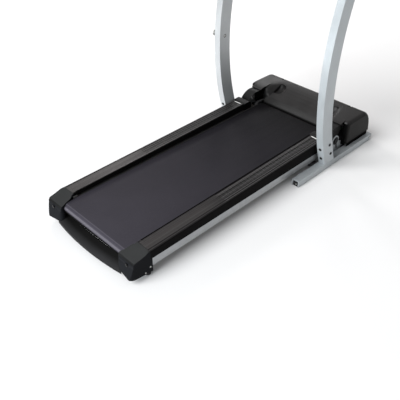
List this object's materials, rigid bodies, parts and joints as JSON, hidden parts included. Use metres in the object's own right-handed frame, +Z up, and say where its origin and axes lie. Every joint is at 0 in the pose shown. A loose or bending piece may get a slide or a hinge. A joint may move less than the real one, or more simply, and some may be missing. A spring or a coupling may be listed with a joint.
{
  "type": "treadmill",
  "caption": "Home treadmill with a folding walking deck, belt on two rollers, motor hood, curved uprights, handrails, console and floor channels.",
  "frame": {"origin": "centre of the machine's length and width, on the floor", "axes": "+Z up, +Y from the rear rollers towards the motor hood, +X to the walker's right"},
  "size_m": [0.781, 1.678, 1.205],
  "materials": {
    "silver_paint": "silver paint, satin",
    "rail_paint": "warm silver paint, satin",
    "black_paint": "black powder coat",
    "pad_rubber": "moulded rubber, matte",
    "black_bolts": "black oxide",
    "wheel_plastic": "hard nylon",
    "plated_steel": "zinc plated",
    "hood_plastic": "satin black, fine grain",
    "screw_black": "black oxide",
    "motor_case": "black enamel",
    "rotor_steel": "turned steel",
    "drive_rubber": "ribbed rubber",
    "controller_board": "circuit board with heat sink",
    "small_plastic": "moulded",
    "switch_red": "glossy rocker",
    "deck_wood": "waxed board, dark",
    "lug_steel": "machined lug",
    "roller_steel": "turned tube",
    "pulley_black": "grooved pulley",
    "belt_fabric": "woven grain, matte",
    "foot_rail_plastic": "ribbed, dark",
    "cover_plastic": "satin black",
    "cap_plastic": "fine texture",
    "skirt_plastic": "satin",
    "grip_foam": "soft foam",
    "latch_plastic": "moulded",
    "latch_metal": "knob on a steel pin",
    "console_plastic": "fine grain",
    "face_plastic": "grey panel",
    "display_window": "dark window",
    "button_green": "soft touch",
    "button_red": "soft touch",
    "button_grey": "soft touch",
    "key_red": "moulded"
  },
  "bodies": {
    "base": {"base_channel_right": "silver_paint", "base_channel_left": "silver_paint", "cross_tubes": "black_paint", "foot_pads": "pad_rubber", "pivot_plates": "silver_paint", "pivot_bolts": "black_bolts", "post_sockets": "black_paint", "upright_right": "silver_paint", "upright_left": "silver_paint", "post_bolts": "black_bolts", "wheel_axles": "plated_steel", "motor_pan": "black_paint", "hood": "hood_plastic", "hood_screws": "screw_black", "motor_body": "motor_case", "drive_belt": "drive_rubber", "controller": "controller_board", "power_inlet": "small_plastic", "handrail_right": "silver_paint", "handrail_left": "silver_paint", "grip_right": "grip_foam", "grip_left": "grip_foam", "latch_housing": "latch_plastic", "console_shell": "console_plastic", "console_face": "face_plastic", "console_display": "display_window"},
    "deck": {"side_rail_right": "rail_paint", "side_rail_left": "rail_paint", "deck_crossmembers": "black_paint", "deck_board": "deck_wood", "deck_isolators": "pad_rubber", "deck_lugs": "lug_steel", "front_axle": "plated_steel", "rear_axle": "plated_steel", "rear_adjusters": "plated_steel", "walking_belt": "belt_fabric", "foot_rail_right": "foot_rail_plastic", "foot_rail_left": "foot_rail_plastic", "rail_end_blocks": "cover_plastic", "pivot_covers": "cover_plastic", "end_cap_right": "cap_plastic", "end_cap_left": "cap_plastic", "rear_skirt": "skirt_plastic", "belt_guides": "small_plastic", "rear_feet": "pad_rubber"},
    "front_roller": {"front_roller": "roller_steel", "roller_pulley": "pulley_black"},
    "rear_roller": {"rear_roller": "roller_steel"},
    "motor_rotor": {"motor_rotor": "rotor_steel"},
    "wheel_right": {"wheel_right": "wheel_plastic"},
    "wheel_left": {"wheel_left": "wheel_plastic"},
    "power_switch": {"power_switch": "switch_red"},
    "latch_knob": {"latch_knob": "latch_metal"},
    "button_start": {"button_start": "button_green"},
    "button_stop": {"button_stop": "button_red"},
    "button_faster": {"button_faster": "button_grey"},
    "button_slower": {"button_slower": "button_grey"},
    "safety_key": {"safety_key": "key_red"}
  },
  "joints": [
    {"name": "deck_fold", "type": "hinge", "parent": "base", "child": "deck", "pos_m": [0, 0.553, 0.089], "axis": [-1, 0, 0], "range_deg": [0, 68]},
    {"name": "front_roller_spin", "type": "hinge", "parent": "deck", "child": "front_roller", "pos_m": [0, 0.553, 0.089], "axis": [1, 0, 0], "continuous": true},
    {"name": "rear_roller_spin", "type": "hinge", "parent": "deck", "child": "rear_roller", "pos_m": [0, -0.77, 0.089], "axis": [1, 0, 0], "continuous": true},
    {"name": "motor_spin", "type": "hinge", "parent": "base", "child": "motor_rotor", "pos_m": [0, 0.71, 0.09], "axis": [1, 0, 0], "continuous": true},
    {"name": "wheel_right_spin", "type": "hinge", "parent": "base", "child": "wheel_right", "pos_m": [0.3355, 0.823, 0.0175], "axis": [1, 0, 0], "continuous": true},
    {"name": "wheel_left_spin", "type": "hinge", "parent": "base", "child": "wheel_left", "pos_m": [-0.3355, 0.823, 0.0175], "axis": [1, 0, 0], "continuous": true},
    {"name": "power_rocker", "type": "hinge", "parent": "base", "child": "power_switch", "pos_m": [0.213, 0.827, 0.08], "axis": [1, 0, 0], "range_deg": [-9, 9]},
    {"name": "latch_slide", "type": "slide", "parent": "base", "child": "latch_knob", "axis": [1, 0, 0], "range_m": [0, 0.022]},
    {"name": "button_start_press", "type": "slide", "parent": "base", "child": "button_start", "axis": [0, 0.5299, -0.848], "range_m": [0, 0.002], "stiffness_N_per_m": 900, "springref_m": -0.0005},
    {"name": "button_stop_press", "type": "slide", "parent": "base", "child": "button_stop", "axis": [0, 0.5299, -0.848], "range_m": [0, 0.002], "stiffness_N_per_m": 900, "springref_m": -0.0005},
    {"name": "button_faster_press", "type": "slide", "parent": "base", "child": "button_faster", "axis": [0, 0.5299, -0.848], "range_m": [0, 0.002], "stiffness_N_per_m": 900, "springref_m": -0.0005},
    {"name": "button_slower_press", "type": "slide", "parent": "base", "child": "button_slower", "axis": [0, 0.5299, -0.848], "range_m": [0, 0.002], "stiffness_N_per_m": 900, "springref_m": -0.0005},
    {"name": "safety_key_pull", "type": "slide", "parent": "base", "child": "safety_key", "axis": [0, -0.5299, 0.848], "range_m": [0, 0.03]}
  ],
  "couplings": [
    {"joint": "rear_roller_spin", "follows": "front_roller_spin", "ratio": 1},
    {"joint": "motor_spin", "follows": "front_roller_spin", "ratio": 2}
  ]
}
